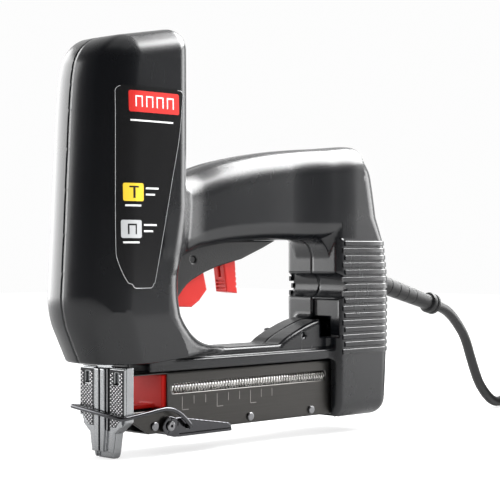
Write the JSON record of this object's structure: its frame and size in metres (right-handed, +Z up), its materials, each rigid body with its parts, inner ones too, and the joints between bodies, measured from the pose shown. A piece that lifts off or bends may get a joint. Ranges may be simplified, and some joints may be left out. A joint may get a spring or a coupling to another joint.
{
  "type": "staple gun",
  "caption": "Corded electric staple gun with a tall solenoid tower, closed D grip, spring-fed magazine under the hand, and a latched steel nose.",
  "frame": {"origin": "under the middle of the tool without its cord, level with the tip of the nose", "axes": "+Z up along the driver's stroke, +X to the rear along the magazine, -Y the tool's left side"},
  "size_m": [0.4982, 0.0964, 0.2369],
  "materials": {
    "shell_plastic": "fine satin moulded grain",
    "black_plastic": "matt black moulded",
    "red_plastic": "smooth red moulded",
    "label_film": "glossy dark film",
    "satin_steel": "dark satin steel",
    "bright_steel": "bright plated steel",
    "rubber": "black flexible rubber",
    "copper_wire": "enamelled copper wire",
    "board": "green board lacquer",
    "brass": "plain brass"
  },
  "bodies": {
    "frame": {"housing_left": "shell_plastic", "housing_right": "shell_plastic", "trigger_shroud": "black_plastic", "trigger_switch": "black_plastic", "power_module": "black_plastic", "coil_bobbin": "black_plastic", "cord_clamp": "black_plastic", "cord_tie": "black_plastic", "side_label": "label_film", "housing_screw_1": "satin_steel", "housing_screw_2": "satin_steel", "housing_screw_3": "satin_steel", "housing_screw_4": "satin_steel", "housing_screw_5": "satin_steel", "housing_screw_6": "satin_steel", "housing_screw_7": "satin_steel", "trigger_pin": "satin_steel", "trigger_lock_pin": "satin_steel", "solenoid_frame": "satin_steel", "latch_pin": "satin_steel", "magazine_body": "satin_steel", "magazine_rivet_1": "satin_steel", "magazine_rivet_2": "satin_steel", "magazine_rivet_3": "satin_steel", "trigger_spring": "bright_steel", "plunger_spring": "bright_steel", "nose_body": "bright_steel", "staple_rail": "bright_steel", "pusher_spring": "bright_steel", "plunger_bumper": "rubber", "strain_relief": "rubber", "power_cord": "rubber", "cord_coil": "rubber", "plug_body": "rubber", "coil_winding": "copper_wire", "circuit_board": "board", "plug_blade_1": "brass", "plug_blade_2": "brass"},
    "trigger": {"trigger": "red_plastic"},
    "trigger_lock": {"trigger_lock": "red_plastic"},
    "driver": {"plunger": "bright_steel", "driver_blade": "bright_steel", "driver_pin": "satin_steel"},
    "pusher": {"pusher": "red_plastic"},
    "latch": {"latch_lever": "bright_steel"},
    "bail": {"wire_bail": "bright_steel"},
    "nose_door": {"nose_plate": "bright_steel"}
  },
  "joints": [
    {"name": "trigger_squeeze", "type": "hinge", "parent": "frame", "child": "trigger", "pos_m": [-0.0047, 0, 0.125], "axis": [0, -1, 0], "range_deg": [0, 9], "stiffness_Nm_per_rad": 0.6, "springref_deg": -5.73},
    {"name": "trigger_lock_press", "type": "hinge", "parent": "frame", "child": "trigger_lock", "pos_m": [-0.0372, 0, 0.108], "axis": [0, -1, 0], "range_deg": [0, 8], "stiffness_Nm_per_rad": 0.3, "springref_deg": -5.73},
    {"name": "driver_stroke", "type": "slide", "parent": "frame", "child": "driver", "axis": [0, 0, -1], "range_m": [0, 0.024], "stiffness_N_per_m": 500, "springref_m": -0.02, "deforming": ["plunger_spring"]},
    {"name": "pusher_slide", "type": "slide", "parent": "frame", "child": "pusher", "axis": [1, 0, 0], "range_m": [0, 0.095], "stiffness_N_per_m": 60, "springref_m": -0.08},
    {"name": "latch_turn", "type": "hinge", "parent": "frame", "child": "latch", "pos_m": [-0.0617, 0, 0.0162], "axis": [0, 1, 0], "range_deg": [0, 95]},
    {"name": "bail_turn", "type": "hinge", "parent": "latch", "child": "bail", "pos_m": [-0.0487, 0, 0.0152], "axis": [0, 1, 0], "range_deg": [-95, 0]},
    {"name": "nose_door_swing", "type": "hinge", "parent": "frame", "child": "nose_door", "pos_m": [-0.0955, 0, 0.0488], "axis": [0, 1, 0], "range_deg": [0, 12]}
  ],
  "couplings": [
    {"joint": "bail_turn", "follows": "latch_turn", "ratio": -1},
    {"joint": "nose_door_swing", "follows": "latch_turn", "ratio": 0.126}
  ]
}
